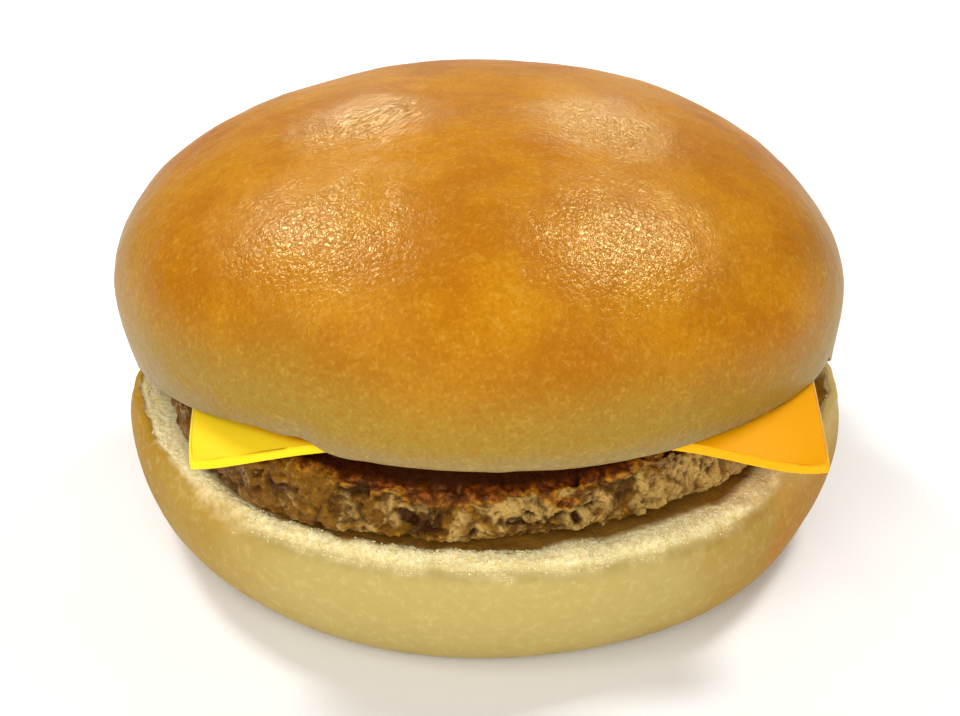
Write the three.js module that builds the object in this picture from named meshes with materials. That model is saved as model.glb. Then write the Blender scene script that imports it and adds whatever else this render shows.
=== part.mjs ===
// A cheeseburger in a round soft bun, at its real size in millimetres, +Z up.
// The bun gapes at the front (-Y), where the patty shows, and its two lips meet at the sides. A
// square cheese slice lies on the patty, and its four corners poke out between the lips.
// The origin is the centre of the flat underside. Azimuths run anticlockwise from +X, from above.

import * as THREE from "three";

const { clamp, degToRad, lerp, smoothstep } = THREE.MathUtils;
const FULL_TURN = 2 * Math.PI;

// Driving dimensions

// Where a shape departs from a true round: the azimuth, the width in radians, and how far.
const spot = (degrees, width, size) => ({ azimuth: degToRad(degrees), width, size });

const CROWN = {
  radius: 49.6,
  bellyHeight: 38.5, // the widest level at the sides
  bellyFrontLift: 3, // how much higher it is at the front, and lower at the back
  bellySag: spot(345, 0.4, 0.8), // how much lower it is at the right
  domeHeight: 24.8, // from the belly to the top
  topShift: -0.4, // the top sits a little to the left
  bandTuck: 1.5, // how far the lip stands in from the belly
  moreTuck: [spot(180, 0.4, 0.8), spot(0, 0.4, -0.5)], // further at the left, less at the right
  lipFront: 32.1, // height of the lip at the front
  lipSide: 21.9, // and where the lips meet
  lipSags: [spot(325, 0.4, 1.8), spot(288, 0.3, 0.7)],
  lipRises: [spot(237, 0.14, 1.1), spot(243, 0.05, 0.9)], // over the front left corner of the slice
  lipRounding: 1.2,
  lipWallRadius: 45.1, // inside of the lip where it hangs down round the patty
};

const HEEL = {
  radius: 48.9,
  centreX: 0.6,
  bellyHeight: 16, // the widest level
  footRadius: 37.6, // the flat that the burger rests on
  rimFront: 19.5, // height of the cut rim at the front
  rimSide: 21.2, // and where the lips meet
  faceRadius: 44.6, // the level part of the cut face, under the patty
  bulges: [spot(358, 0.3, 0.8), spot(182, 0.1, 0.5), spot(245, 0.3, 0.4)], // in plan
  hollows: [spot(333, 0.25, 1.3), spot(205, 0.25, 0.5)], // in plan
  slopingSide: spot(217, 0.5, 1), // where the side slopes out instead of standing up
  fullSide: spot(322, 0.45, 0.45), // where it stands up more
  footHollow: spot(295, 0.4, 1.8), // where the flat falls short of its round
};

const PATTY = {
  radius: 43.3,
  centre: new THREE.Vector2(0.7, -1.3),
  foot: 19.8,
  top: 30.5,
  bulge: spot(232, 0.45, 2.4), // at the front left
  undercut: spot(305, 0.6, 2), // how much further in the foot stands than the top
  drop: spot(272, 0.62, 2.8), // how far the top slopes down to the edge, under the lifted lip
};

const CHEESE = {
  side: 81,
  thickness: 1.35,
  turn: degToRad(1.5),
  centre: new THREE.Vector2(2.85, 0.4),
  droopLeft: 3, // how low the front left corner hangs
  droopRight: 4.4, // the front right one
  droopBack: 6, // and the two at the back
  droopStart: 41.3, // the slice bends down between these two distances from the patty's centre
  droopEnd: 56.3,
};

const GAP = 0.35; // between one piece and the next
const BEND_GAP = 0.6; // between patty and cheese where the cheese bends down

// Repeatable uneven shapes

function cellValue(i, j, k, seed) {
  const wave = Math.sin(i * 127.1 + j * 311.7 + k * 74.7 + seed * 53.3) * 43758.5453;
  return 2 * (wave - Math.floor(wave)) - 1;
}

// A smooth value from -1 to 1 that changes over about one cell.
function unevenness(point, cell, seed) {
  const [x, y, z] = [point.x / cell, point.y / cell, point.z / cell];
  const [i, j, k] = [Math.floor(x), Math.floor(y), Math.floor(z)];
  const [u, v, w] = [x - i, y - j, z - k].map((t) => t * t * (3 - 2 * t));
  let sum = 0;
  for (const a of [0, 1])
    for (const b of [0, 1])
      for (const c of [0, 1]) {
        const share = (a ? u : 1 - u) * (b ? v : 1 - v) * (c ? w : 1 - w);
        sum += share * cellValue(i + a, j + b, k + c, seed);
      }
  return sum;
}

// Slow waves round the turn, each given as [how many, size, where it starts].
function waves(azimuth, list) {
  return list.reduce((sum, [count, size, start]) => sum + size * Math.cos(count * azimuth + start), 0);
}

// 1 at the very front, 0 at the sides and -1 at the very back.
const frontness = (azimuth) => -Math.sin(azimuth);

// The size of a spot at its own azimuth, falling to 0 over its width.
function hump(azimuth, { azimuth: centre, width, size }) {
  const away = Math.atan2(Math.sin(azimuth - centre), Math.cos(azimuth - centre));
  return size * Math.exp(-((away / width) ** 2));
}

const humps = (azimuth, spots) => spots.reduce((sum, one) => sum + hump(azimuth, one), 0);

// Turned shapes

// Steps from one number to another, both included.
function steps(from, to, count) {
  return Array.from({ length: count + 1 }, (_, n) => lerp(from, to, n / count));
}

// The angles of a quarter turn, without the first.
const quarter = (count) => steps(0, Math.PI / 2, count).slice(1);

function polar(azimuth, radius, height) {
  return new THREE.Vector3(radius * Math.cos(azimuth), radius * Math.sin(azimuth), height);
}

// A closed body whose rings follow a profile of [radius, height] points that changes with the
// azimuth. Each point is put in its place by a function, and a pole closes either end.
function turnedBody(segments, profileAt, place, firstPole, lastPole) {
  const columns = Array.from({ length: segments }, (_, n) => {
    const azimuth = (n / segments) * FULL_TURN;
    return profileAt(azimuth).map(([radius, height], row) => place(azimuth, radius, height, row));
  });
  const rows = columns[0].length;
  const points = [firstPole, ...columns.flat(), lastPole];
  const at = (row, column) => 1 + (column % segments) * rows + row;
  const faces = [];
  for (let column = 0; column < segments; column++) {
    faces.push(0, at(0, column + 1), at(0, column));
    for (let row = 0; row + 1 < rows; row++) {
      const [a, b] = [at(row, column), at(row, column + 1)];
      const [c, d] = [at(row + 1, column), at(row + 1, column + 1)];
      faces.push(a, b, d, a, d, c);
    }
    faces.push(points.length - 1, at(rows - 1, column), at(rows - 1, column + 1));
  }
  return skin(points, faces);
}

function skin(points, faces) {
  const geometry = new THREE.BufferGeometry().setFromPoints(points);
  geometry.setIndex(faces);
  geometry.computeVertexNormals();
  return geometry;
}

// Cheese slice: flat on the patty, its corners bending down beyond the patty's edge

const fromPattyCentre = (x, y) => Math.hypot(x - PATTY.centre.x, y - PATTY.centre.y);

// How far the slice hangs below its flat part at x, y.
function cheeseDroop(x, y) {
  const azimuth = Math.atan2(y - PATTY.centre.y, x - PATTY.centre.x);
  const front = lerp(CHEESE.droopLeft, CHEESE.droopRight, smoothstep(x, -15, 22));
  const depth = lerp(front, CHEESE.droopBack, smoothstep(-frontness(azimuth), 0.1, 0.5));
  return depth * smoothstep(fromPattyCentre(x, y), CHEESE.droopStart, CHEESE.droopEnd);
}

const cheeseUnderside = (x, y) => PATTY.top + GAP - cheeseDroop(x, y);

// The slice is as thick across its slope as it is on the flat.
function cheeseTopside(x, y) {
  const step = 0.05;
  const under = cheeseUnderside(x, y);
  const slopeX = (cheeseUnderside(x + step, y) - under) / step;
  const slopeY = (cheeseUnderside(x, y + step) - under) / step;
  return under + CHEESE.thickness * Math.hypot(1, slopeX, slopeY);
}

// The highest the patty may stand under the slice at x, y.
function pattyCeiling(x, y) {
  const bend = smoothstep(fromPattyCentre(x, y), CHEESE.droopStart - 5, CHEESE.droopStart);
  return cheeseUnderside(x, y) - lerp(GAP, BEND_GAP, bend);
}

// 1 over the slice and close round it, 0 further away.
function nearCheese(x, y) {
  const local = new THREE.Vector2(x, y).sub(CHEESE.centre).rotateAround(new THREE.Vector2(), -CHEESE.turn);
  const outside = Math.max(Math.abs(local.x), Math.abs(local.y)) - CHEESE.side / 2;
  return 1 - smoothstep(outside, 1.5, 5);
}

function cheeseGeometry() {
  const cells = 22;
  const row = cells + 1;
  const spread = 1.3; // the cells get narrower towards the edges
  const fraction = (n) => Math.sin((2 * n / cells - 1) * spread) / Math.sin(spread);
  const cornerPull = 0.012;
  const place = (i, j) => {
    const [u, v] = [fraction(i), fraction(j)];
    const scale = (CHEESE.side / 2) * (1 - cornerPull * Math.abs(u * v) ** 12);
    const flat = new THREE.Vector2(u * scale, v * scale);
    return flat.rotateAround(new THREE.Vector2(), CHEESE.turn).add(CHEESE.centre);
  };

  const points = [];
  for (const heightOf of [cheeseUnderside, cheeseTopside])
    for (let j = 0; j < row; j++)
      for (let i = 0; i < row; i++) {
        const { x, y } = place(i, j);
        points.push(new THREE.Vector3(x, y, heightOf(x, y)));
      }

  const upper = row * row;
  const faces = [];
  for (let j = 0; j < cells; j++)
    for (let i = 0; i < cells; i++) {
      const a = j * row + i;
      const [b, c, d] = [a + 1, a + row, a + row + 1];
      faces.push(a, d, b, a, c, d);
      faces.push(upper + a, upper + b, upper + d, upper + a, upper + d, upper + c);
    }

  const along = steps(0, cells - 1, cells - 1);
  const border = [
    ...along,
    ...along.map((n) => n * row + cells),
    ...along.map((n) => upper - 1 - n),
    ...along.map((n) => (cells - n) * row),
  ];
  border.forEach((a, n) => {
    const b = border[(n + 1) % border.length];
    faces.push(a, b, upper + b, a, upper + b, upper + a);
  });
  return skin(points, faces);
}

// Patty: a disc of coarse minced meat, craggy all round its side

function pattyGeometry() {
  const [topRounding, footRounding] = [1.3, 0.8];
  const faceInset = 2.4; // where the level faces end
  const [cragSize, cragRoomFront, cragRoomBack, dimple] = [0.75, 0.9, 0.4, 0.56];

  const profileAt = (azimuth) => {
    const outline = waves(azimuth, [[3, 0.2, 0.6], [5, 0.15, 2.1], [8, 0.1, 4]]);
    const radius = PATTY.radius + outline + hump(azimuth, PATTY.bulge);
    const footInset = footRounding + hump(azimuth, PATTY.undercut);
    const drop = hump(azimuth, PATTY.drop);
    return [
      ...[0.35, 0.9].map((share) => [share * (radius - faceInset - footInset), PATTY.foot]),
      ...steps(-1, 1, 9).map((t) => {
        const inset = topRounding * Math.max(0, t) ** 4 + footInset * Math.max(0, -t) ** 3;
        const level = 0.5 + 0.5 * Math.sign(t) * Math.abs(t) ** 0.8;
        return [radius - inset, lerp(PATTY.foot, PATTY.top - drop, level)];
      }),
      ...[0.97, 0.86, 0.72, 0.35].map((share) => [
        share * (radius - faceInset),
        PATTY.top - drop * smoothstep(share, 0.84, 1.02),
      ]),
    ];
  };

  const place = (azimuth, radius, height) => {
    const point = polar(azimuth, radius, height);
    const edge = PATTY.radius + hump(azimuth, PATTY.bulge);
    const level = (height - PATTY.foot) / (PATTY.top - hump(azimuth, PATTY.drop) - PATTY.foot);
    const onSide = smoothstep(radius, edge - 3.5, edge - 1.5);
    const middle = 0.35 + 0.65 * Math.sin(Math.PI * clamp(level, 0.05, 0.95));
    const room = lerp(cragRoomBack, cragRoomFront, smoothstep(frontness(azimuth), 0, 0.3));
    const crag = cragSize * (unevenness(point, 4.2, 1) + 0.6 * unevenness(point, 2.3, 2));
    const pushed = polar(azimuth, radius + Math.min(room, crag) * onSide * middle, height);
    const dent = dimple * onSide * (0.5 - 0.5 * unevenness(point, 3.1, 3));
    if (level > 0.92) pushed.z -= dent;
    if (level < 0.08) pushed.z += dent;
    pushed.add(new THREE.Vector3(...PATTY.centre, 0));
    pushed.z = Math.min(pushed.z, pattyCeiling(pushed.x, pushed.y));
    return pushed;
  };

  const pole = (height) => new THREE.Vector3(...PATTY.centre, height);
  return turnedBody(120, profileAt, place, pole(PATTY.foot), pole(PATTY.top));
}

// Bun heel: a flat foot, a soft round side and a torn edge round the level cut face

function heelGeometry() {
  const faceLevel = PATTY.foot - GAP;
  const [softness, tearing] = [0.35, 0.3];

  const profileAt = (azimuth) => {
    const front = smoothstep(frontness(azimuth), 0.3, 0.8);
    const rounding = lerp(1.1, 1.8, front);
    const tuck = lerp(0.6, 1.3, front);
    const outline = waves(azimuth, [[2, 0.35, 0.4], [3, 0.3, 2.6], [5, 0.15, 1.2]]);
    const uneven = humps(azimuth, HEEL.bulges) - humps(azimuth, HEEL.hollows);
    const radius = HEEL.radius + outline + uneven;
    const flare = hump(azimuth, HEEL.slopingSide) - hump(azimuth, HEEL.fullSide);
    const foot = HEEL.footRadius - 0.8 * flare - hump(azimuth, HEEL.footHollow);
    const meeting = lerp(HEEL.rimSide, HEEL.rimFront, smoothstep(frontness(azimuth), -0.15, 0.55));
    const rim = meeting + waves(azimuth, [[4, 0.12, 1], [7, 0.1, 3]]);
    const edgeRadius = radius - tuck - rounding;
    return [
      ...steps(0.4, 1, 3).map((share) => [share * foot, 0]),
      ...quarter(9).map((angle) => [
        lerp(foot, radius, Math.sin(angle) ** (0.9 + 0.25 * flare)),
        HEEL.bellyHeight * (1 - Math.cos(angle)),
      ]),
      ...[1 / 3, 2 / 3, 1].map((t) => [radius - tuck * t * t, lerp(HEEL.bellyHeight, rim - rounding, t)]),
      ...quarter(3).map((angle) => [
        edgeRadius + rounding * Math.cos(angle),
        rim - rounding * (1 - Math.sin(angle)),
      ]),
      ...[0.3, 0.62, 1].map((t) => [
        lerp(edgeRadius, HEEL.faceRadius, t),
        lerp(rim, faceLevel, smoothstep(t, -0.15, 1)),
      ]),
      ...[43.2, 30, 14].map((r) => [r, faceLevel]),
    ];
  };

  const place = (azimuth, radius, height) => {
    const point = polar(azimuth, radius, height);
    const onSide = smoothstep(radius, HEEL.footRadius, HEEL.footRadius + 8);
    const beyondFace = smoothstep(radius, HEEL.faceRadius - 0.4, HEEL.faceRadius + 0.9);
    const onEdge = height > HEEL.rimFront - 1 ? beyondFace : 0;
    const soft = softness * unevenness(point, 17, 5) * onSide * (1 - onEdge);
    const torn = tearing * unevenness(point, 2.6, 6) * onEdge;
    const pushed = polar(azimuth, radius + soft + torn, height + 0.6 * torn);
    pushed.x += HEEL.centreX;
    return pushed;
  };

  const pole = (height) => new THREE.Vector3(0, 0, height);
  return turnedBody(80, profileAt, place, pole(0), pole(faceLevel));
}

// Bun crown: a dome over an upright band, its lip lifted at the front and resting on the cheese

const BACK_CORNER_LIFTS = [spot(45, 0.22, 5), spot(135, 0.22, 5)];
const SHOULDER_DENT = { at: new THREE.Vector3(46, 4, 46), depth: 1.2, width: 14 };

function lipHeight(azimuth) {
  const lifted = 1 - (1 - clamp(frontness(azimuth) + 0.02, 0, 1)) ** 2.7;
  const raised = humps(azimuth, [...CROWN.lipRises, ...BACK_CORNER_LIFTS]);
  const uneven = waves(azimuth, [[6, 0.12, 0.5], [9, 0.1, 2]]);
  return lerp(CROWN.lipSide, CROWN.lipFront, lifted) + raised - humps(azimuth, CROWN.lipSags) + uneven;
}

function crownGeometry() {
  const underLevel = PATTY.top + GAP + CHEESE.thickness + GAP;
  const topHeight = CROWN.bellyHeight + CROWN.domeHeight;
  const innerRows = 8; // the level underside and the inside of the lip

  const profileAt = (azimuth) => {
    const { bellyHeight, domeHeight, lipRounding, lipWallRadius } = CROWN;
    const radius = CROWN.radius + waves(azimuth, [[2, 0.15, 0.2], [3, 0.2, 0.3], [5, 0.1, 2.5]]);
    const lip = lipHeight(azimuth);
    const lift = CROWN.bellyFrontLift * frontness(azimuth);
    const belly = bellyHeight + lift - hump(azimuth, CROWN.bellySag);
    const tuck = CROWN.bandTuck + humps(azimuth, CROWN.moreTuck);
    const lipFoot = radius - tuck - lipRounding;
    const innerRise = Math.min(lipRounding, underLevel - lip);
    return [
      ...[14, 30, 40, 43.5].map((r) => [r, underLevel]),
      ...steps(0, 1, 3).map((t) => [lipWallRadius, lerp(underLevel, lip + innerRise, t)]),
      ...quarter(3).map((angle) => [
        lerp(lipWallRadius, lipFoot, 1 - Math.cos(angle)),
        lip + innerRise * (1 - Math.sin(angle)),
      ]),
      ...quarter(3).map((angle) => [
        lipFoot + lipRounding * Math.sin(angle),
        lip + lipRounding * (1 - Math.cos(angle)),
      ]),
      ...steps(0, 1, 5).slice(1).map((t) => [
        radius - tuck * (1 - Math.sin((t * Math.PI) / 2)),
        lerp(lip + lipRounding, belly, t),
      ]),
      ...quarter(13).slice(0, -1).map((angle) => [
        radius * Math.cos(angle),
        lerp(bellyHeight, belly, Math.cos(angle)) + domeHeight * Math.sin(angle),
      ]),
    ];
  };

  const place = (azimuth, radius, height, row) => {
    const point = polar(azimuth, radius, height);
    const outward = new THREE.Vector3(point.x, point.y, (point.z - underLevel) * 1.6).normalize();
    const dentDistance = point.distanceTo(SHOULDER_DENT.at) / SHOULDER_DENT.width;
    const dent = SHOULDER_DENT.depth * Math.exp(-(dentDistance ** 2));
    const lumps = 0.35 * unevenness(point, 24, 8) + 0.2 * unevenness(point, 11, 9);
    const soft = row < innerRows ? 0 : lumps * smoothstep(height, underLevel - 12, underLevel);
    point.addScaledVector(outward, soft - dent);
    const cheese = cheeseTopside(point.x, point.y) + GAP;
    point.z += Math.max(0, cheese - point.z) * nearCheese(point.x, point.y);
    point.x += CROWN.topShift * smoothstep(point.z, CROWN.bellyHeight - 4, CROWN.bellyHeight + 14);
    return point;
  };

  const underPole = new THREE.Vector3(0, 0, underLevel);
  return turnedBody(64, profileAt, place, underPole, new THREE.Vector3(CROWN.topShift, 0, topHeight));
}

// Pieces

function piece(name, geometry, color, roughness) {
  const mesh = new THREE.Mesh(geometry, new THREE.MeshStandardMaterial({ color, roughness }));
  mesh.name = name;
  return mesh;
}

const burger = new THREE.Group();
burger.add(
  piece("bun_heel", heelGeometry(), 0xd9b866, 0.6),
  piece("beef_patty", pattyGeometry(), 0x7a5226, 0.55),
  piece("cheese_slice", cheeseGeometry(), 0xffbe1c, 0.35),
  piece("bun_crown", crownGeometry(), 0xc8851f, 0.35),
);

export default burger;
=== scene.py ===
"""The looks of a cheeseburger in a round glossy bun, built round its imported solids.

Each large piece stands for one solid. It follows the same named sizes and formulas at a finer
pitch, and adds the relief that the solid leaves out: soft lumps under the glaze, grains of mince
and shreds of crumb. Loose tufts stand on the torn rim. Azimuths run anticlockwise from +X, seen
from above, and the front is -Y. Shapes are worked out in millimetres and become metres when their
mesh is made.
"""

from collections import namedtuple
from itertools import product
from math import cos, pi, radians, sin

import bmesh
import bpy
import numpy as np
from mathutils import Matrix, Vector


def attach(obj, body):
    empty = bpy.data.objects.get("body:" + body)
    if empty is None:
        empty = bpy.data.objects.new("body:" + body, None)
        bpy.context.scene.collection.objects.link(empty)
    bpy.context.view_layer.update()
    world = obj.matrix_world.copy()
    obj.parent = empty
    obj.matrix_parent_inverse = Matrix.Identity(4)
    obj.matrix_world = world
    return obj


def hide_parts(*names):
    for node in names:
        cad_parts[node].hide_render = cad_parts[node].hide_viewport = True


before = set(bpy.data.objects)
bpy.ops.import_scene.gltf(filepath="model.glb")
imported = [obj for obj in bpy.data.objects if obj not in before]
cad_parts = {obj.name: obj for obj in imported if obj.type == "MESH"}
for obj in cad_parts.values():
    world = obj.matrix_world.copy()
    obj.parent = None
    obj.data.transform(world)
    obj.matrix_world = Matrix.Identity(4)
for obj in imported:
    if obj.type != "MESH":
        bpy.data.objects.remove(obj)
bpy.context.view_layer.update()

MM = 0.001

# Driving dimensions, the same as in the solids

Spot = namedtuple("Spot", "azimuth width size")


def spot(degrees, width, size):
    """Where a shape departs from a true round: the azimuth, the width in radians, and how far."""
    return Spot(radians(degrees), width, size)


CROWN_RADIUS = 49.6
CROWN_BELLY = 38.5  # the widest level at the sides
CROWN_BELLY_LIFT = 3  # how much higher it is at the front, and lower at the back
CROWN_BELLY_SAG = spot(345, 0.4, 0.8)  # how much lower it is at the right
CROWN_DOME = 24.8  # from the belly to the top
CROWN_TOP_SHIFT = -0.4  # how far the top leans to the right
CROWN_TUCK = 1.5  # how far the lip stands in from the belly
CROWN_MORE_TUCK = [spot(180, 0.4, 0.8), spot(0, 0.4, -0.5)]
LIP_FRONT = 32.1
LIP_SIDE = 21.9
LIP_SAGS = [spot(325, 0.4, 1.8), spot(288, 0.3, 0.7)]
LIP_RISES = [spot(237, 0.14, 1.1), spot(243, 0.05, 0.9), spot(45, 0.22, 5), spot(135, 0.22, 5)]
LIP_ROUNDING = 1.2
LIP_WALL_RADIUS = 45.1

HEEL_RADIUS = 48.9
HEEL_CENTRE_X = 0.6
HEEL_BELLY = 16
HEEL_FOOT_RADIUS = 37.6
HEEL_RIM_FRONT = 19.5
HEEL_RIM_SIDE = 21.2
HEEL_FACE_RADIUS = 44.6
HEEL_BULGES = [spot(358, 0.3, 0.8), spot(182, 0.1, 0.5), spot(245, 0.3, 0.4)]
HEEL_HOLLOWS = [spot(333, 0.25, 1.3), spot(205, 0.25, 0.5)]
HEEL_SLOPING_SIDE = spot(217, 0.5, 1)  # where the side slopes out instead of standing up
HEEL_FULL_SIDE = spot(322, 0.45, 0.45)  # where it stands up more than elsewhere
HEEL_FOOT_HOLLOW = spot(295, 0.4, 1.8)
HEEL_SOAKED_AND_SHADED = spot(353, 0.16, 1)  # where juice has run out to the rim, and painted shade in the gap under the crown

PATTY_RADIUS = 43.3
PATTY_CENTRE = np.array([0.7, -1.3])
PATTY_FOOT = 19.8
PATTY_TOP = 30.5
PATTY_BULGE = spot(232, 0.45, 2.4)
PATTY_UNDERCUT = spot(305, 0.6, 2)  # how much further in the foot stands than the top
PATTY_DROP = spot(272, 0.62, 2.8)  # how far the top slopes down to the edge, under the lifted lip
PATTY_SEAR = spot(270, 0.55, 0.4)  # where the browned top reaches furthest down its side

CHEESE_SIDE = 81
CHEESE_THICKNESS = 1.35
CHEESE_TURN = radians(1.5)
CHEESE_CENTRE = np.array([2.85, 0.4])
DROOP_LEFT, DROOP_RIGHT, DROOP_BACK = 3, 4.4, 6
DROOP_START, DROOP_END = 41.3, 56.3  # distances from the patty's middle

GAP = 0.35  # between two layers
BEND_GAP = 0.6  # between the patty and the slice where it bends down


# Repeatable uneven shapes

def lerp(a, b, t):
    return a + (b - a) * t


def smoothstep(x, low, high):
    t = np.clip((x - low) / (high - low), 0, 1)
    return t * t * (3 - 2 * t)


def cell_value(cell, seed):
    """A value from -1 to 1 for each whole-numbered cell. Its factors are any unrelated numbers."""
    wave = np.sin(cell @ np.array([127.1, 311.7, 74.7]) + seed * 53.3) * 43758.5453
    return 2 * (wave - np.floor(wave)) - 1


def unevenness(points, size, seed):
    """A smooth value from -1 to 1 that changes over about one size."""
    scaled = points / size
    low = np.floor(scaled)
    t = scaled - low
    t = t * t * (3 - 2 * t)
    total = 0
    for corner in product((0, 1), repeat=3):
        corner = np.array(corner)
        share = np.prod(np.where(corner, t, 1 - t), axis=-1)
        total = total + share * cell_value(low + corner, seed)
    return total


def grains(points, size, seed):
    """How deep each point lies in its own grain, from 0 at the border, and that grain's value."""
    looseness, very_far = 0.42, 9.0

    scaled = points / size
    low = np.floor(scaled)
    first = np.full(points.shape[:-1], very_far)
    second, own = first.copy(), np.zeros_like(first)
    for offset in product((-1, 0, 1), repeat=3):
        cell = low + np.array(offset)
        jitter = np.stack([cell_value(cell, seed + axis) for axis in range(3)], -1)
        distance = np.linalg.norm(scaled - cell - 0.5 - looseness * jitter, axis=-1)
        nearer = distance < first
        second = np.where(nearer, first, np.minimum(second, distance))
        own = np.where(nearer, cell_value(cell, seed + 3), own)
        first = np.where(nearer, distance, first)
    return second - first, own


def rounded(depth, limit):
    """The height of a rounded grain, from how deep a point lies in it."""
    return np.sqrt(np.clip(depth, 0, limit))


def waves(azimuth, *terms):
    """Slow waves round the turn, each given as (how many, size, where it starts)."""
    return sum(size * np.cos(count * azimuth + start) for count, size, start in terms)


def frontness(azimuth):
    """1 at the very front, 0 at the sides and -1 at the very back."""
    return -np.sin(azimuth)


def hump(azimuth, place):
    """The size of a spot at its own azimuth, falling to 0 over its width."""
    turned = azimuth - place.azimuth
    away = np.arctan2(np.sin(turned), np.cos(turned))
    return place.size * np.exp(-((away / place.width) ** 2))


def humps(azimuth, places):
    return sum(hump(azimuth, place) for place in places)


# Turned shapes: arrays of rows by columns, with the columns going once round

def around(columns):
    return np.arange(columns) / columns * 2 * pi


def steps(start, end, count):
    """Steps from one number to another, without the first."""
    return [lerp(start, end, n / count) for n in range(1, count + 1)]


def rows_of(azimuth, profile):
    """Radius and height arrays from pairs of both, each of which may change round the turn."""
    radius = np.array([np.broadcast_to(r, azimuth.shape) for r, _ in profile])
    height = np.array([np.broadcast_to(h, azimuth.shape) for _, h in profile])
    return radius, height


def polar(azimuth, radius, height):
    azimuth, radius, height = np.broadcast_arrays(azimuth, radius, height)
    return np.stack([radius * np.cos(azimuth), radius * np.sin(azimuth), height], -1)


def outward(points):
    """Unit normals of a turned grid."""
    along = np.gradient(points, axis=0)
    across = np.roll(points, -1, 1) - np.roll(points, 1, 1)
    normal = np.cross(across, along)
    return normal / np.maximum(np.linalg.norm(normal, axis=-1, keepdims=True), 1e-9)


def turned_faces(rows, columns):
    """Quads of a turned grid, and the triangles that close it at a pole before and a pole after."""
    here = np.arange(columns)
    after = (here + 1) % columns
    faces = []
    for row in range(rows - 1):
        low, high = 1 + row * columns, 1 + (row + 1) * columns
        faces += np.stack([low + here, low + after, high + after, high + here], 1).tolist()
    last = 1 + rows * columns
    faces += [[0, 1 + b, 1 + a] for a, b in zip(here, after)]
    faces += [[last, last - columns + a, last - columns + b] for a, b in zip(here, after)]
    return faces


def mesh_piece(name, points, faces, values, material):
    """A smooth-shaded object from points in millimetres, with named values for its material."""
    mesh = bpy.data.meshes.new(name)
    mesh.from_pydata((points * MM).tolist(), [], faces)
    mesh.polygons.foreach_set("use_smooth", [True] * len(mesh.polygons))
    for key, value in values.items():
        attribute = mesh.attributes.new(key, "FLOAT", "POINT")
        attribute.data.foreach_set("value", value.astype(np.float32))
    mesh.materials.append(material)
    mesh.update()
    piece = bpy.data.objects.new(name, mesh)
    bpy.context.scene.collection.objects.link(piece)
    return piece


def turned_piece(name, points, values, material):
    """A closed turned body. Each pole is the middle of the row next to it, and takes its values."""

    def with_poles(grid):
        flat = grid.reshape(-1, *grid.shape[2:])
        return np.concatenate([[grid[0].mean(axis=0)], flat, [grid[-1].mean(axis=0)]])

    faces = turned_faces(*points.shape[:2])
    ended = {key: with_poles(value) for key, value in values.items()}
    return mesh_piece(name, with_poles(points), faces, ended, material)


# Cheese slice

def from_patty_centre(x, y):
    return np.hypot(x - PATTY_CENTRE[0], y - PATTY_CENTRE[1])


def cheese_underside(x, y):
    azimuth = np.arctan2(y - PATTY_CENTRE[1], x - PATTY_CENTRE[0])
    front = lerp(DROOP_LEFT, DROOP_RIGHT, smoothstep(x, -15, 22))
    depth = lerp(front, DROOP_BACK, smoothstep(-frontness(azimuth), 0.1, 0.5))
    return PATTY_TOP + GAP - depth * smoothstep(from_patty_centre(x, y), DROOP_START, DROOP_END)


def cheese_topside(x, y):
    step = 0.05
    under = cheese_underside(x, y)
    slope_x = (cheese_underside(x + step, y) - under) / step
    slope_y = (cheese_underside(x, y + step) - under) / step
    return under + CHEESE_THICKNESS * np.sqrt(1 + slope_x**2 + slope_y**2)


def patty_ceiling(x, y):
    bend = smoothstep(from_patty_centre(x, y), DROOP_START - 5, DROOP_START)
    return cheese_underside(x, y) - lerp(GAP, BEND_GAP, bend)


def turn_flat(x, y, angle):
    return x * cos(angle) - y * sin(angle), x * sin(angle) + y * cos(angle)


def near_cheese(x, y):
    """1 over the slice and close round it, 0 further away."""
    x, y = turn_flat(x - CHEESE_CENTRE[0], y - CHEESE_CENTRE[1], -CHEESE_TURN)
    outside = np.maximum(abs(x), abs(y)) - CHEESE_SIDE / 2
    return 1 - smoothstep(outside, 1.5, 5)


def make_cheese(material):
    """Rings of a square from the middle of the underside, round the edge, to the top's middle."""
    columns, rings, edge_rows = 640, 70, 9
    edge_rounding, softness = 0.4, 0.05
    corner_pull, corner_sharpness = 0.016, 12

    angle = around(columns) + pi / 4
    reach = 1 / np.maximum(abs(np.cos(angle)), abs(np.sin(angle)))
    u, v = reach * np.cos(angle), reach * np.sin(angle)
    scale = CHEESE_SIDE / 2 * (1 - corner_pull * abs(u * v) ** corner_sharpness)
    inward = [sin(t * pi / 2) for t in steps(0, 1, rings)]

    def ring(share, inset, level):
        size = scale * share - inset
        x, y = turn_flat(u * size, v * size, CHEESE_TURN)
        x, y = x + CHEESE_CENTRE[0], y + CHEESE_CENTRE[1]
        under, top = cheese_underside(x, y), cheese_topside(x, y)
        return np.stack([x, y, lerp(under, top, level)], -1)

    rows = [ring(share, edge_rounding, 0) for share in inward]
    for t in steps(-1, 1, edge_rows)[:-1]:
        rows.append(ring(1, edge_rounding * t**4, 0.5 + 0.5 * t))
    rows += [ring(share, edge_rounding, 1) for share in reversed(inward)]
    points = np.array(rows)

    on_edge = np.zeros(points.shape[:2])
    on_edge[rings - 1 : rings + edge_rows] = 1
    dented = softness * unevenness(points, 9, 21) + 0.4 * softness * unevenness(points, 2.2, 22)
    points = points + outward(points) * (dented - softness)[..., None]

    # Painted shade: the slice is darker inside an uneven line under the lip of the crown, as the
    # lip's shade
    outside_lip = np.hypot(points[..., 0], points[..., 1]) - LIP_WALL_RADIUS
    outside_lip += 0.4 * unevenness(points, 4, 23)
    values = {"cut": on_edge, "painted_lip_shade": smoothstep(outside_lip, 0.8, -0.6)}
    return turned_piece("cheese", points, values, material)


# Patty

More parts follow.
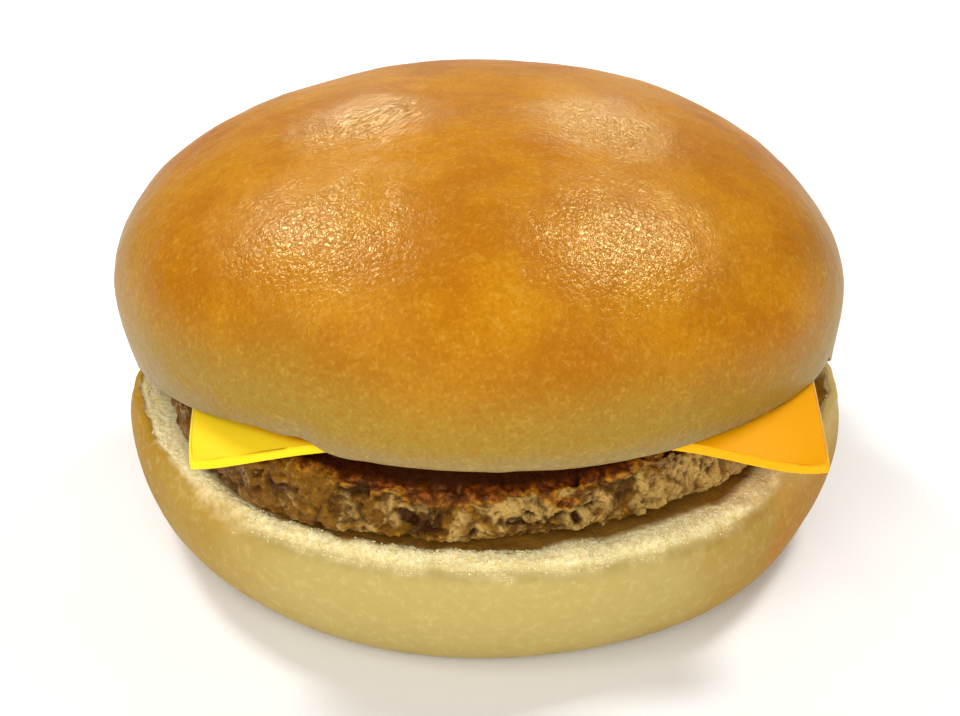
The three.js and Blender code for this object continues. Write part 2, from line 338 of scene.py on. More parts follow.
def mince_relief(point):
    """Relief in millimetres, how far a point lies in a crevice, which is painted as shade, and a
    tone for each bit of meat.
    """
    strand_size, bit_size, hole_size = 3.6, 1.5, 2.5
    flat_strand, flat_hole = np.array([1, 1, 1.3]), np.array([1, 1, 1.7])
    crease_width, crack_width = 0.08, 0.12

    warp = np.stack([unevenness(point, 3.6, seed) for seed in (31, 32, 33)], -1)
    warp += 0.4 * np.stack([unevenness(point, 1.3, seed) for seed in (34, 35, 36)], -1)
    warped = point + 1.5 * warp
    strand, strand_tone = grains(warped * flat_strand, strand_size, 37)
    bit, bit_tone = grains(warped, bit_size, 41)
    crumbly = smoothstep(unevenness(point, 5.5, 45), -0.25, 0.45)
    crease = np.exp(-((unevenness(warped, 3.4, 46) / crease_width) ** 2)) * crumbly
    crack = np.exp(-((unevenness(warped, 1.7, 53) / crack_width) ** 2))
    hole = smoothstep(unevenness(warped * flat_hole, hole_size, 47), 0.55, 0.8)

    relief = 0.55 * rounded(strand, 0.4) - 0.4 + 0.35 * strand_tone
    relief += (0.4 + 0.6 * crumbly) * (0.55 * rounded(bit, 0.4) - 0.3)
    relief += 0.2 * unevenness(warped, 2.1, 48) + 0.18 * unevenness(point, 0.9, 51)
    relief += 0.1 * unevenness(point, 0.45, 52)
    relief -= 0.35 * crease + 0.16 * crack + 1.0 * hole
    # Painted shade: how deep a point lies in a crevice or hole sets how dark it is painted
    crevice_shade = np.maximum(smoothstep(relief, -0.3, -0.95), 0.7 * crease)
    return relief, np.maximum(crevice_shade, hole), 0.65 * strand_tone + 0.35 * bit_tone


def make_patty(material):
    columns, side_rows = 1080, 56
    top_rounding, foot_rounding = 1.3, 0.8
    face_inset = 2.4
    face_shares = (0.35, 0.72, 0.84, 0.88, 0.92, 0.96, 1)
    crag_size, crag_room_front, crag_room_back, dimple = 0.75, 0.9, 0.4, 0.56
    face_relief = 0.12  # the share of the mince's relief that the flat faces keep
    sear_start, sear_full = 0.72, 1.02  # how far up the side

    azimuth = around(columns)
    outline = waves(azimuth, (3, 0.2, 0.6), (5, 0.15, 2.1), (8, 0.1, 4))
    edge = PATTY_RADIUS + outline + hump(azimuth, PATTY_BULGE)
    foot_inset = foot_rounding + hump(azimuth, PATTY_UNDERCUT)
    drop = hump(azimuth, PATTY_DROP)
    foot_edge = edge - face_inset - foot_inset
    profile = [(share * foot_edge, PATTY_FOOT) for share in face_shares]
    for t in np.linspace(-1, 1, side_rows):
        inset = top_rounding * max(0, t) ** 4 + foot_inset * max(0, -t) ** 3
        level = 0.5 + 0.5 * np.sign(t) * abs(t) ** 0.8
        profile.append((edge - inset, lerp(PATTY_FOOT, PATTY_TOP - drop, level)))
    for share in reversed(face_shares):
        sloped = drop * smoothstep(share, 0.84, 1.02)
        profile.append((share * (edge - face_inset), PATTY_TOP - sloped))
    radius, height = rows_of(azimuth, profile)

    point = polar(azimuth, radius, height)
    level = (height - PATTY_FOOT) / (PATTY_TOP - drop - PATTY_FOOT)
    on_side = smoothstep(radius - edge, -3.5, -1.5)
    middle = 0.35 + 0.65 * np.sin(pi * np.clip(level, 0.05, 0.95))
    room = lerp(crag_room_back, crag_room_front, smoothstep(frontness(azimuth), 0, 0.3))
    crag = crag_size * (unevenness(point, 4.2, 1) + 0.6 * unevenness(point, 2.3, 2))
    pushed = polar(azimuth, radius + np.minimum(room, crag) * on_side * middle, height)
    dent = dimple * on_side * (0.5 - 0.5 * unevenness(point, 3.1, 3))
    pushed[..., 2] += dent * (smoothstep(level, 0.12, 0) - smoothstep(level, 0.88, 1))

    relief, crevice_shade, tone = mince_relief(point)
    carved = pushed + outward(pushed) * (relief * lerp(face_relief, 1, on_side))[..., None]
    carved[..., :2] += PATTY_CENTRE
    ceiling = patty_ceiling(carved[..., 0], carved[..., 1])
    carved[..., 2] = np.minimum(carved[..., 2], ceiling)

    seared = level + 0.28 * unevenness(point, 5, 49) + 0.2 * unevenness(point, 1.9, 50)
    seared += hump(azimuth, PATTY_SEAR) - PATTY_SEAR.size
    values = {
        "sear": smoothstep(seared, sear_start, sear_full),
        # Painted shade: the seared top near the edge, sloping down under the lip, is painted near
        # black
        "painted_top_shade": smoothstep(radius - edge, -1.2, -2.2) * (level > 0.5),
        "crevice_shade": crevice_shade,
        "tone": tone,
    }
    return turned_piece("mince_patty", carved, values, material)


# Bun heel

def heel_surface():
    """Points of the heel, how far each one is crumb, and how far it is greased and painted with the
    patty's shade.
    """
    columns, side_rows, band_rows, edge_rows, face_rows = 1100, 34, 7, 10, 34
    foot_shares = (0.4, 0.6, 0.8, 0.95, 1)
    face_level = PATTY_FOOT - GAP
    face_radii = (43.8, 43.2, 42.4, 41.5, 40.5, 39, 30, 14)
    rounding_side, rounding_front = 1.1, 1.8
    tuck_side, tuck_front = 0.6, 1.3
    softness, tearing = 0.35, 0.3

    azimuth = around(columns)
    front = smoothstep(frontness(azimuth), 0.3, 0.8)
    rounding = lerp(rounding_side, rounding_front, front)
    tuck = lerp(tuck_side, tuck_front, front)
    outline = waves(azimuth, (2, 0.35, 0.4), (3, 0.3, 2.6), (5, 0.15, 1.2))
    edge = HEEL_RADIUS + outline + humps(azimuth, HEEL_BULGES) - humps(azimuth, HEEL_HOLLOWS)
    flare = hump(azimuth, HEEL_SLOPING_SIDE) - hump(azimuth, HEEL_FULL_SIDE)
    foot = HEEL_FOOT_RADIUS - 0.8 * flare - hump(azimuth, HEEL_FOOT_HOLLOW)
    meeting = lerp(HEEL_RIM_SIDE, HEEL_RIM_FRONT, smoothstep(frontness(azimuth), -0.15, 0.55))
    rim = meeting + waves(azimuth, (4, 0.12, 1), (7, 0.1, 3))
    edge_radius = edge - tuck - rounding

    profile = [(share * foot, 0) for share in foot_shares]
    for angle in steps(0, pi / 2, side_rows):
        share = sin(angle) ** (0.9 + 0.25 * flare)
        profile.append((lerp(foot, edge, share), HEEL_BELLY * (1 - cos(angle))))
    for t in steps(0, 1, band_rows):
        profile.append((edge - tuck * t * t, lerp(HEEL_BELLY, rim - rounding, t)))
    for angle in steps(0, pi / 2, edge_rows):
        profile.append((edge_radius + rounding * cos(angle), rim - rounding * (1 - sin(angle))))
    crust_rows = len(profile)
    for t in steps(0, 1, face_rows):
        height = lerp(rim, face_level, smoothstep(t, -0.15, 1))
        profile.append((lerp(edge_radius, HEEL_FACE_RADIUS, t), height))
    profile += [(r, face_level) for r in face_radii]
    radius, height = rows_of(azimuth, profile)

    point = polar(azimuth, radius, height)
    on_side = smoothstep(radius, HEEL_FOOT_RADIUS, HEEL_FOOT_RADIUS + 8)
    beyond_face = smoothstep(radius, HEEL_FACE_RADIUS - 0.4, HEEL_FACE_RADIUS + 0.9)
    on_edge = beyond_face * smoothstep(height, HEEL_RIM_FRONT - 1.4, HEEL_RIM_FRONT - 0.6)
    soft = softness * unevenness(point, 17, 5) * on_side * (1 - on_edge)
    torn = tearing * unevenness(point, 2.6, 6) * on_edge
    pushed = polar(azimuth, radius + soft + torn, height + 0.6 * torn)
    pushed[..., 0] += HEEL_CENTRE_X

    # The crumb starts where the crust ends, at an uneven line, and has tufts and soft shreds
    row = np.arange(len(profile))[:, None]
    uneven_line = 3 * unevenness(point, 3.2, 51) + 2 * unevenness(point, 1.1, 52)
    rows_past_crust = row - crust_rows + lerp(-2, 7, front) + uneven_line
    crumb = smoothstep(rows_past_crust, lerp(-4, -9, front), 3)
    tuft, _ = grains(point, 1.2, 53)
    shreds = 0.25 * rounded(tuft, 0.6) + 0.35 * unevenness(point, 3.8, 57)
    shreds = shreds * lerp(0.2, 1, front) + 0.1 * unevenness(point, 0.7, 58) - 0.2
    skin = 0.05 * unevenness(point, 5, 61) + 0.03 * unevenness(point, 2, 62)
    past_patty = smoothstep(radius, 41, 43.5)
    relief = lerp(skin * on_side, shreds * past_patty, crumb)
    pushed = pushed + outward(pushed) * relief[..., None]

    # Grease stain and painted shade: the crumb is darkened under the patty and a little past it,
    # most at the front, partly as grease that has soaked in and partly as the patty's shade
    most_greased_and_shaded = radians(285)
    beyond_patty = from_patty_centre(pushed[..., 0], pushed[..., 1]) - PATTY_RADIUS
    beyond_patty += 0.6 * unevenness(point, 2.2, 63) - hump(azimuth, PATTY_BULGE)
    reach = lerp(-1.2, 0.3, smoothstep(np.cos(azimuth - most_greased_and_shaded), 0.6, 0.9))
    grease_and_shade = crumb * smoothstep(beyond_patty, reach + 0.5, reach - 0.9)
    # Painted shade, partly juice: a dark spot in the shaded gap under the crown at the right
    soaked_and_shaded = smoothstep(hump(azimuth, HEEL_SOAKED_AND_SHADED), 0.2, 0.7)
    grease_and_shade = np.maximum(grease_and_shade, crumb * soaked_and_shaded * smoothstep(radius, 49, 48))
    return pushed, crumb, grease_and_shade


def make_heel(surface, material):
    points, crumb, grease_and_shade = surface
    return turned_piece("heel_bread", points, {"crumb": crumb, "grease_and_shade": grease_and_shade}, material)


# Bun crown

# A shallow dent at the right, high up its side
SHOULDER_DENT = {"at": np.array([46, 4, 46]), "depth": 1.2, "width": 14}


def lip_height(azimuth):
    lifted = 1 - (1 - np.clip(frontness(azimuth) + 0.02, 0, 1)) ** 2.7
    uneven = waves(azimuth, (6, 0.12, 0.5), (9, 0.1, 2))
    moved = humps(azimuth, LIP_RISES) - humps(azimuth, LIP_SAGS)
    return lerp(LIP_SIDE, LIP_FRONT, lifted) + moved + uneven


def make_crown(material):
    columns, wall_rows, lip_rows, band_rows, dome_rows = 640, 8, 9, 16, 132
    under_level = PATTY_TOP + GAP + CHEESE_THICKNESS + GAP
    under_radii = (14, 30, 38, 42, 44, LIP_WALL_RADIUS)
    dome_flatness = 1.6  # lumps push outward as on a dome this much wider than high

    azimuth = around(columns)
    edge = CROWN_RADIUS + waves(azimuth, (2, 0.15, 0.2), (3, 0.2, 0.3), (5, 0.1, 2.5))
    lip = lip_height(azimuth)
    belly = CROWN_BELLY + CROWN_BELLY_LIFT * frontness(azimuth) - hump(azimuth, CROWN_BELLY_SAG)
    tuck = CROWN_TUCK + humps(azimuth, CROWN_MORE_TUCK)
    lip_foot = edge - tuck - LIP_ROUNDING
    inner_rise = np.minimum(LIP_ROUNDING, under_level - lip)

    profile = [(r, under_level) for r in under_radii]
    for t in steps(0, 1, wall_rows):
        profile.append((LIP_WALL_RADIUS, lerp(under_level, lip + inner_rise, t)))
    for angle in steps(0, pi / 2, lip_rows):
        inner = lerp(LIP_WALL_RADIUS, lip_foot, 1 - cos(angle))
        profile.append((inner, lip + inner_rise * (1 - sin(angle))))
    inner_rows = len(profile)
    for angle in steps(0, pi / 2, lip_rows):
        rise = LIP_ROUNDING * (1 - cos(angle))
        profile.append((lip_foot + LIP_ROUNDING * sin(angle), lip + rise))
    for t in steps(0, 1, band_rows):
        tucked = edge - tuck * (1 - sin(t * pi / 2))
        profile.append((tucked, lerp(lip + LIP_ROUNDING, belly, t)))
    for angle in steps(0, pi / 2, dome_rows)[:-1]:
        level = lerp(CROWN_BELLY, belly, cos(angle))
        profile.append((edge * cos(angle), level + CROWN_DOME * sin(angle)))
    radius, height = rows_of(azimuth, profile)
    row = np.arange(len(profile))[:, None]

    point = polar(azimuth, radius, height)
    away = (point - [0, 0, under_level]) * [1, 1, dome_flatness]
    away /= np.linalg.norm(away, axis=-1, keepdims=True)
    dent_distance = np.linalg.norm(point - SHOULDER_DENT["at"], axis=-1) / SHOULDER_DENT["width"]
    dent = SHOULDER_DENT["depth"] * np.exp(-(dent_distance**2))
    lumps = 0.35 * unevenness(point, 24, 8) + 0.2 * unevenness(point, 11, 9)
    outside = row >= inner_rows
    soft = outside * lumps * smoothstep(height, under_level - 12, under_level)
    point = point + away * (soft - dent)[..., None]
    lift = cheese_topside(point[..., 0], point[..., 1]) + GAP - point[..., 2]
    point[..., 2] += np.maximum(0, lift) * near_cheese(point[..., 0], point[..., 1])
    point[..., 0] += CROWN_TOP_SHIFT * smoothstep(point[..., 2], CROWN_BELLY - 4, CROWN_BELLY + 14)

    ripples = 0.08 * unevenness(point, 6, 71) + 0.055 * unevenness(point, 2.3, 72)
    point = point + outward(point) * (ripples * outside)[..., None]

    above_lip = point[..., 2] - lip
    blotch = 2.2 * unevenness(point, 19, 73) + 1.2 * unevenness(point, 8, 74)
    less_at_sides = lerp(1, 0.4, smoothstep(abs(point[..., 0]), 39, 48))
    crumb = 1 - smoothstep(row, inner_rows - 7, inner_rows - 2)
    values = {
        "browning": smoothstep(above_lip + blotch, 4, 18) * less_at_sides,
        "pale": smoothstep(above_lip + 0.3 * blotch, 4.5, 0.5),
        "crumb": np.broadcast_to(crumb, radius.shape),
    }
    return turned_piece("crown_crust", point, values, material)


# Torn tufts and loose crumbs

def make_crumbs(name, places, sizes, seed, material):
    """Small irregular lumps at the given places, joined in one mesh."""
    lumpiness, lump_size, far = 0.38, 0.8, 50
    least_squeeze, most_squeeze = 0.6, 1.15

    ball = bmesh.new()
    bmesh.ops.create_icosphere(ball, subdivisions=1, radius=1)
    shape = np.array([v.co for v in ball.verts])
    corners = np.array([[v.index for v in face.verts] for face in ball.faces])
    ball.free()

    draw = np.random.default_rng(seed)
    points, faces = [], []
    for n, (place, size) in enumerate(zip(places, sizes)):
        somewhere = draw.uniform(-far, far, 3)
        lumpy = 1 + lumpiness * unevenness(shape + somewhere, lump_size, seed)
        squeeze = draw.uniform(least_squeeze, most_squeeze, 3)
        turn, _ = np.linalg.qr(draw.normal(size=(3, 3)))
        points.append((shape * lumpy[:, None] * squeeze) @ turn * size + place)
        faces.append(corners + n * len(shape))
    return mesh_piece(name, np.concatenate(points), np.concatenate(faces).tolist(), {}, material)


def make_torn_crumb(heel, material):
    """Tufts that stand on the torn rim between the crust and the patty, thickest at the front."""
    count, largest, smallest = 3500, 0.2, 0.07
    share_elsewhere = 0.05

    points, crumb, grease_and_shade = heel
    draw = np.random.default_rng(81)
    azimuth = np.arctan2(points[..., 1], points[..., 0])
    radius = np.hypot(points[..., 0], points[..., 1])
    on_rim = smoothstep(radius, HEEL_FACE_RADIUS, HEEL_FACE_RADIUS + 2)
    in_front = smoothstep(frontness(azimuth), 0.7, 0.9)
    weight = smoothstep(crumb, 0.1, 0.5) * on_rim * (1 - grease_and_shade)
    weight = weight * lerp(share_elsewhere, 1, in_front)
    chosen = draw.choice(weight.size, count, replace=False, p=weight.ravel() / weight.sum())
    sizes = lerp(smallest, largest, draw.uniform(0, 1, count) ** 2)
    places = points.reshape(-1, 3)[chosen]
    return make_crumbs("torn_crumb", places, sizes, 82, material)


# Materials

class Paint:
    """One material's nodes. A value that is a socket is linked, and any other is set."""

    def __init__(self, name):
        self.material = bpy.data.materials.new(name)
        self.material.use_nodes = True
        self.tree = self.material.node_tree
        self.surface = self.tree.nodes["Principled BSDF"]
        self.place = self.node("ShaderNodeTexCoord").outputs["Object"]

    def node(self, kind, inputs=None, **settings):
        made = self.tree.nodes.new(kind)
        for key, value in settings.items():
            setattr(made, key, value)
        for key, value in (inputs or {}).items():
            self.put(made.inputs[key], value)
        return made

    def put(self, socket, value):
        if isinstance(value, bpy.types.NodeSocket):
            self.tree.links.new(value, socket)
        elif hasattr(value, "__len__") and socket.type == "RGBA":
            socket.default_value = (*value, 1)
        else:
            socket.default_value = value

    def noise(self, size, detail=2, roughness=0.5, distortion=0, place=None):
        """A value round 0.5 that changes over about one size, in millimetres."""
        inputs = {"Vector": place or self.place, "Scale": 1 / (size * MM), "Detail": detail}
        inputs.update({"Roughness": roughness, "Distortion": distortion})
        return self.node("ShaderNodeTexNoise", inputs).outputs["Fac"]

    def along(self, axis):
        """How far along an axis each point lies, in metres."""
        return self.node("ShaderNodeSeparateXYZ", {0: self.place}).outputs[axis]

    def drawn_out(self, azimuth, share):
        """The place for a pattern that is drawn out along an azimuth, by 1 over the share."""
        inputs = {"Vector": self.place, "Rotation": (0, 0, azimuth), "Scale": (1 / share, 1, 1)}
        return self.node("ShaderNodeMapping", inputs, vector_type="TEXTURE").outputs[0]

    def near(self, middle, reach, size, softness=0.3):
        """1 round a point given in millimetres and 0 far from it, halfway at about its reach.

        Noise of the given size makes the edge uneven. It adds about half the reach to a distance.
        """
        inputs = {0: self.place, 1: tuple(part * MM for part in middle)}
        away = self.node("ShaderNodeVectorMath", inputs, operation="DISTANCE").outputs["Value"]
        uneven = self.math("MULTIPLY_ADD", self.noise(size), reach * MM, away)
        halfway = 1.4 * reach * MM
        return self.ramp(uneven, halfway * (1 + softness), halfway * (1 - softness))

    def value(self, name):
        return self.node("ShaderNodeAttribute", attribute_name=name).outputs["Fac"]

    def math(self, operation, a, b=0.0, c=0.0):
        return self.node("ShaderNodeMath", {0: a, 1: b, 2: c}, operation=operation).outputs[0]

    def ramp(self, value, low, high, to_low=0.0, to_high=1.0):
        """The value eased from one range into another, and held at its ends."""
        inputs = {"Value": value, "From Min": low, "From Max": high}
        inputs.update({"To Min": to_low, "To Max": to_high})
        made = self.node("ShaderNodeMapRange", inputs, interpolation_type="SMOOTHSTEP")
        return made.outputs["Result"]

    def mix_values(self, share, a, b):
        return self.node("ShaderNodeMix", {0: share, 2: a, 3: b}, data_type="FLOAT").outputs[0]

    def mix(self, share, a, b):
        return self.node("ShaderNodeMix", {0: share, 6: a, 7: b}, data_type="RGBA").outputs[2]

    def bump(self, height, depth, normal=None):
        """Relief of the given depth in millimetres."""
        inputs = {"Height": height, "Distance": depth * MM}
        if normal:
            inputs["Normal"] = normal
        return self.node("ShaderNodeBump", inputs).outputs["Normal"]

    def finish(self, **inputs):
        """Sets the shader's inputs, named with underscores for spaces, and gives the material."""
        for key, value in inputs.items():
            self.put(self.surface.inputs[key.replace("_", " ")], value)
        return self.material


# Where the glaze is thickest, and how far it reaches
GLAZED = [((-15, -9, 62), 8), ((16, -10, 62), 9), ((-19, -33, 56), 12.5), ((17, -34, 56), 12.5)]

# Where the wrinkles run side by side, and which way
RIDGED = {"middle": (-12, -6, 62), "reach": 9, "azimuth": radians(50)}


def crown_crust():
    straw, honey, amber = (0.30, 0.185, 0.025), (0.47, 0.185, 0.004), (0.38, 0.126, 0.002)
    lip, fleck, stain = (0.27, 0.195, 0.075), (0.62, 0.36, 0.05), (0.38, 0.145, 0.002)
    painted_groove_shade, painted_ridge_light = (0.30, 0.10, 0.002), (0.66, 0.38, 0.05)
    crumb_dark, crumb_light = (0.60, 0.45, 0.18), (0.78, 0.62, 0.30)
    bare_depth, glazed_depth, ridged_depth = 0.07, 0.17, 0.3

    paint = Paint("glazed_crust")
    browning = paint.value("browning")
    blotches = paint.noise(14, detail=3, roughness=0.6)
    mottle = paint.noise(1.3, detail=4, roughness=0.65, distortion=0.5)
    golden = paint.mix(paint.ramp(blotches, 0.36, 0.66), honey, amber)
    crust = paint.mix(browning, straw, golden)
    crust = paint.mix(paint.value("pale"), crust, lip)
    crust = paint.mix(paint.ramp(mottle, 0.52, 0.72, to_high=0.25), crust, fleck)
    crust = paint.mix(paint.ramp(mottle, 0.48, 0.3, to_high=0.3), crust, stain)

    leather = paint.noise(0.6, detail=2, roughness=0.55, distortion=0.6)
    drawn_out = paint.drawn_out(RIDGED["azimuth"], 0.3)
    ridges = paint.noise(0.75, detail=3, distortion=0.5, place=drawn_out)
    ridged = paint.near(RIDGED["middle"], RIDGED["reach"], size=4)
    folds = paint.mix_values(ridged, leather, ridges)
    # Painted shade in the grooves of the folds, and painted light on their ridges, from the same
    # noise as the bump
    crust = paint.mix(paint.ramp(folds, 0.5, 0.35, to_high=0.3), crust, painted_groove_shade)
    crust = paint.mix(paint.ramp(folds, 0.54, 0.72, to_high=0.2), crust, painted_ridge_light)
    crumb_tone = paint.mix(paint.noise(1.2), crumb_dark, crumb_light)

    glazed = 0
    for middle, reach in GLAZED:
        glazed = paint.math("MAXIMUM", glazed, paint.near(middle, reach, size=5, softness=0.65))
    glazed = paint.math("MULTIPLY", glazed, browning)
    deepest = paint.mix_values(ridged, glazed_depth, ridged_depth)
    depth = paint.math("MULTIPLY_ADD", glazed, deepest, bare_depth)
    soft_lumps = paint.bump(paint.noise(2.6, detail=1), 0.15)
    return paint.finish(
        Base_Color=paint.mix(paint.value("crumb"), crust, crumb_tone),
        Roughness=paint.ramp(glazed, 0, 1, 0.4, 0.22),
        Normal=paint.bump(paint.math("MULTIPLY", folds, depth), 1, soft_lumps),
        Specular_IOR_Level=paint.ramp(glazed, 0, 1, 0.09, 0.9),
        Specular_Tint=(1, 0.82, 0.34),
        Subsurface_Weight=0.06,
        Subsurface_Radius=(1, 0.5, 0.2),
        Subsurface_Scale=0.0012,
    )


def heel_crust():
    cream, tan = (0.46, 0.345, 0.108), (0.37, 0.195, 0.014)
    browned, pale_rim = (0.42, 0.19, 0.015), (0.56, 0.43, 0.17)
    fleck, stain = (0.68, 0.56, 0.23), (0.42, 0.26, 0.05)
    crumb_dark, crumb_light = (0.80, 0.62, 0.25), (0.96, 0.83, 0.48)
    grease_shade_light, grease_shade_dark = (0.33, 0.16, 0.02), (0.16, 0.06, 0.006)
    crust_depth, crumb_depth = 0.06, 0.2

    # The crust is cream at the front and tan at the sides, browner low at the right
    paint = Paint("bun_crumb_and_crust")
    across, height = paint.along("X"), paint.along("Z")
    patches = paint.noise(15, detail=3)
    sideways = paint.math("MULTIPLY_ADD", patches, 0.03, paint.math("ABSOLUTE", across))
    crust = paint.mix(paint.ramp(sideways, 0.032, 0.062), cream, tan)
    crust = paint.mix(paint.near((43, -24, 12), 10, size=8), crust, browned)
    at_right = paint.ramp(across, 0.03, 0.047, to_high=0.7)
    at_rim = paint.ramp(height, 0.014, 0.021)
    crust = paint.mix(paint.math("MULTIPLY", at_rim, at_right), crust, pale_rim)
    mottle = paint.noise(1.3, detail=4, roughness=0.65, distortion=0.4)
    crust = paint.mix(paint.ramp(mottle, 0.48, 0.72, to_high=0.22), crust, fleck)
    crust = paint.mix(paint.ramp(mottle, 0.45, 0.3, to_high=0.15), crust, stain)

    fine = paint.ramp(paint.noise(0.6, detail=3), 0.3, 0.65)
    crumb_tone = paint.mix(fine, crumb_dark, crumb_light)
    # Grease stain and painted shade: the crumb under and just past the patty is darkened
    greased_and_shaded = paint.mix(paint.noise(2.5, detail=2), grease_shade_light, grease_shade_dark)
    crumb_tone = paint.mix(paint.value("grease_and_shade"), crumb_tone, greased_and_shaded)
    crumb = paint.value("crumb")
    shreds = paint.noise(0.45, detail=4, roughness=0.65)
    depth = paint.ramp(crumb, 0, 1, crust_depth, crumb_depth)
    return paint.finish(
        Base_Color=paint.mix(crumb, crust, crumb_tone),
        Roughness=paint.ramp(crumb, 0, 1, 0.55, 0.85),
        Normal=paint.bump(paint.math("MULTIPLY", shreds, depth), 1),
        Specular_IOR_Level=0.05,
        Specular_Tint=(1, 0.9, 0.6),
        Subsurface_Weight=paint.ramp(crumb, 0, 1, 0.1, 0.4),
        Subsurface_Radius=(1, 0.7, 0.35),
        Subsurface_Scale=0.0015,
    )


def mince():
    dark, brown, pale = (0.07, 0.024, 0.001), (0.16, 0.062, 0.002), (0.42, 0.26, 0.07)
    fleck, between_grains = (0.38, 0.18, 0.010), (0.07, 0.022, 0.001)
    browned_dark, browned_light = (0.15, 0.04, 0.001), (0.42, 0.17, 0.008)
    charred_dark, charred_light = (0.06, 0.009, 0.001), (0.22, 0.048, 0.003)
    # The second colour below, top, is painted shade: near black, for the seared top that slopes
    # under the lip
    crevice_shade, top = (0.035, 0.008, 0.001), (0.03, 0.004, 0.001)

    # Paler patches of meat show more towards the right, a bias that is painted light, and the sear
    # turns from brown to dark red
    paint = Paint("cooked_mince")
    patches = paint.noise(4.5, detail=3, roughness=0.6, distortion=0.8)
    grain = paint.noise(0.9, detail=4, roughness=0.65)
    meat = paint.mix(paint.ramp(paint.value("tone"), -0.5, 0.5), dark, brown)
    pale_and_lit = paint.math("MULTIPLY_ADD", paint.along("X"), 4, patches)
    meat = paint.mix(paint.ramp(pale_and_lit, 0.46, 0.62), meat, pale)
    meat = paint.mix(paint.ramp(grain, 0.52, 0.7, to_high=0.6), meat, fleck)
    meat = paint.mix(paint.ramp(grain, 0.48, 0.32, to_high=0.85), meat, between_grains)
    sear = paint.value("sear")
    browned = paint.mix(paint.ramp(grain, 0.4, 0.6), browned_dark, browned_light)
    charred = paint.mix(paint.ramp(grain, 0.45, 0.62), charred_dark, charred_light)
    meat = paint.mix(paint.ramp(sear, 0, 0.4), meat, browned)
    meat = paint.mix(paint.ramp(sear, 0.35, 0.9), meat, charred)
    # Painted shade: crevices and holes are painted near black
    meat = paint.mix(paint.value("crevice_shade"), meat, crevice_shade)
    return paint.finish(
        Base_Color=paint.mix(paint.value("painted_top_shade"), meat, top),
        Roughness=paint.ramp(grain, 0.4, 0.6, 0.7, 0.15),
        Normal=paint.bump(paint.noise(0.5, detail=4, roughness=0.7), 0.2),
        Specular_IOR_Level=0.3,
        Specular_Tint=(1, 0.72, 0.3),
        Subsurface_Weight=0.05,
        Subsurface_Radius=(1, 0.4, 0.15),
        Subsurface_Scale=0.001,
    )


def cheese():
    painted_light_yellow, orange = (1.0, 0.70, 0.02), (0.80, 0.35, 0.001)
    painted_light_yellow_edge, orange_edge = (1.0, 0.66, 0.018), (0.86, 0.40, 0.008)
    # Painted shade: the slice's darker, more orange colour under the lip of the crown
    painted_lip_shade = (0.80, 0.32, 0.002)

    paint = Paint("cheese")
    # Painted light: the slice's own orange turns to a lighter yellow towards the left, as if that
    # side were lit more
    painted_light_falloff = paint.math("MULTIPLY_ADD", paint.noise(9, detail=2), 0.02, paint.along("X"))
    less_painted_light = paint.ramp(painted_light_falloff, -0.02, 0.03)
    surface = paint.mix(less_painted_light, painted_light_yellow, orange)
    surface = paint.mix(paint.value("painted_lip_shade"), surface, painted_lip_shade)
    edge = paint.mix(less_painted_light, painted_light_yellow_edge, orange_edge)
    return paint.finish(
        Base_Color=paint.mix(paint.value("cut"), surface, edge),
        Roughness=0.4,
        Normal=paint.bump(paint.noise(1.3, detail=3), 0.02),
        Specular_IOR_Level=0.08,
        Specular_Tint=(1, 0.85, 0.4),
        Subsurface_Weight=0.5,
        Subsurface_Radius=(1, 0.45, 0.05),
        Subsurface_Scale=0.002,
    )


def crumb_tufts():
    dark, light = (0.74, 0.60, 0.26), (0.93, 0.82, 0.46)
    paint = Paint("torn_crumb")
    tone = paint.ramp(paint.noise(0.7, detail=3), 0.35, 0.65)
    return paint.finish(
        Base_Color=paint.mix(tone, dark, light),
        Roughness=0.9,
        Specular_IOR_Level=0.05,
        Subsurface_Weight=0.3,
        Subsurface_Radius=(1, 0.8, 0.5),
        Subsurface_Scale=0.0005,
    )


# Stage, lights and camera

FLOOR_HALF = 4  # metres
FLOOR_DROP = 0.1 * MM  # how far the floor lies under the heel

CAMERA_PLACE = (0, -296.6 * MM, 174.66 * MM)
CAMERA_LOOKS_DOWN = radians(27.04)
CAMERA_LENS = 89.0
CAMERA_SENSOR = 36

LIGHTS_AIM_AT = Vector((0, 0, 45 * MM))
WARM = (1, 0.88, 0.6)


def make_floor():
    mesh = bpy.data.meshes.new("floor")
    around_middle = ((-1, -1), (1, -1), (1, 1), (-1, 1))
    corners = [(x * FLOOR_HALF, y * FLOOR_HALF, -FLOOR_DROP) for x, y in around_middle]
    mesh.from_pydata(corners, [], [(0, 1, 2, 3)])
    paint = Paint("pale_floor")
    mesh.materials.append(paint.finish(Base_Color=(0.95, 0.95, 0.95), Roughness=0.9))
    floor = bpy.data.objects.new("floor", mesh)
    bpy.context.scene.collection.objects.link(floor)


def make_world(brightness):
    world = bpy.data.worlds.new("studio")
    world.use_nodes = True
    background = world.node_tree.nodes["Background"]
    background.inputs["Color"].default_value = (1, 1, 1, 1)
    background.inputs["Strength"].default_value = brightness
    bpy.context.scene.world = world


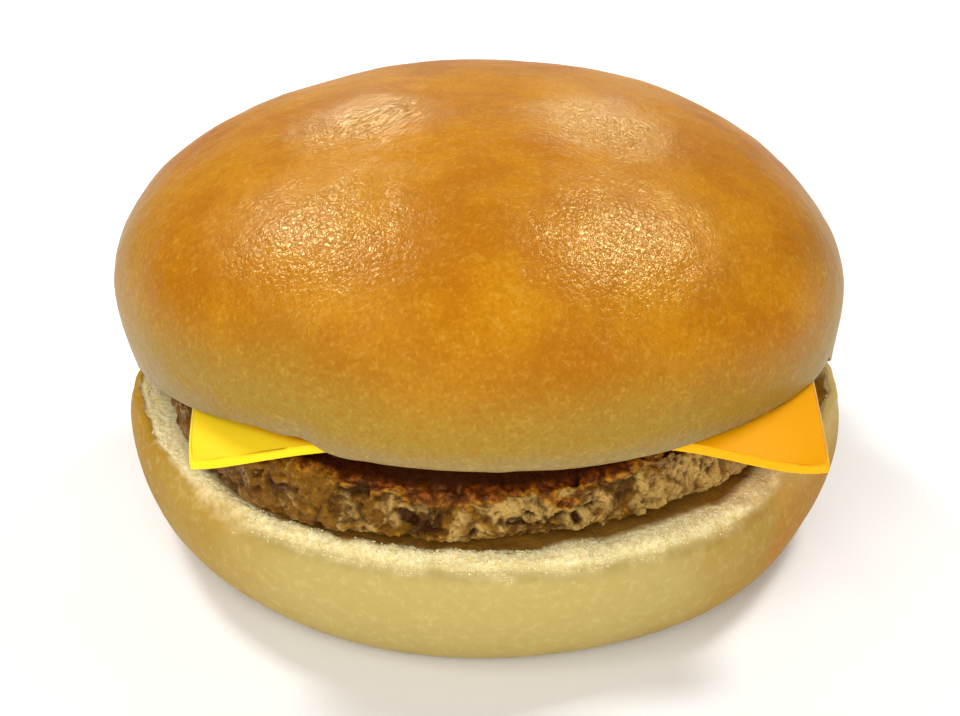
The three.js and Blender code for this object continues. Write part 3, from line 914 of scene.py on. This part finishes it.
def make_softbox(name, azimuth, elevation, distance, width, height, brightness, tint=(1, 1, 1)):
    """A panel that faces the burger. Its sizes are in metres, and its brightness is a screen's."""
    light = bpy.data.lights.new(name, "AREA")
    light.shape = "RECTANGLE"
    light.size, light.size_y = width, height
    light.energy = brightness * pi * width * height
    light.color = tint
    lamp = bpy.data.objects.new(name, light)
    a, e = radians(azimuth), radians(elevation)
    direction = Vector((cos(a) * cos(e), sin(a) * cos(e), sin(e)))
    lamp.location = LIGHTS_AIM_AT + direction * distance
    lamp.rotation_euler = direction.to_track_quat("Z", "Y").to_euler()
    bpy.context.scene.collection.objects.link(lamp)


def make_highlight_lights():
    """Two low panels behind shine on the top of the glaze, and two high ones on its front."""
    behind = {"distance": 1.4, "height": 0.2, "tint": WARM}
    make_softbox("back_left", 100, 20, width=0.18, brightness=15, **behind)
    make_softbox("back_right", 78, 19, width=0.22, brightness=12.5, **behind)
    above = {"distance": 1.4, "width": 0.28, "height": 0.36, "brightness": 31}
    make_softbox("upper_left", 143, 53, **above)
    make_softbox("upper_right", 31, 57, **above)


def make_fill_lights():
    """A weak panel at the front left, and a wide low one that lights the side of the heel."""
    make_softbox("front_left", -130, 50, distance=1.5, width=0.6, height=0.6, brightness=3)
    make_softbox("front_fill", -95, 26, distance=1.6, width=2.0, height=0.9, brightness=4.4)


def make_camera():
    data = bpy.data.cameras.new("camera")
    data.sensor_width = CAMERA_SENSOR
    data.lens = CAMERA_LENS
    data.clip_start = 0.01
    camera = bpy.data.objects.new("camera", data)
    camera.location = CAMERA_PLACE
    camera.rotation_euler = (pi / 2 - CAMERA_LOOKS_DOWN, 0, 0)
    bpy.context.scene.collection.objects.link(camera)
    bpy.context.scene.camera = camera


def dress(piece, node):
    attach(piece, "root")
    if node:
        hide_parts(node)


make_camera()
make_floor()
make_world(0.16)
make_highlight_lights()
make_fill_lights()
bpy.context.scene.view_settings.view_transform = "Standard"

heel = heel_surface()
dress(make_crown(crown_crust()), "bun_crown")
dress(make_heel(heel, heel_crust()), "bun_heel")
dress(make_patty(mince()), "beef_patty")
dress(make_cheese(cheese()), "cheese_slice")
dress(make_torn_crumb(heel, crumb_tufts()), None)
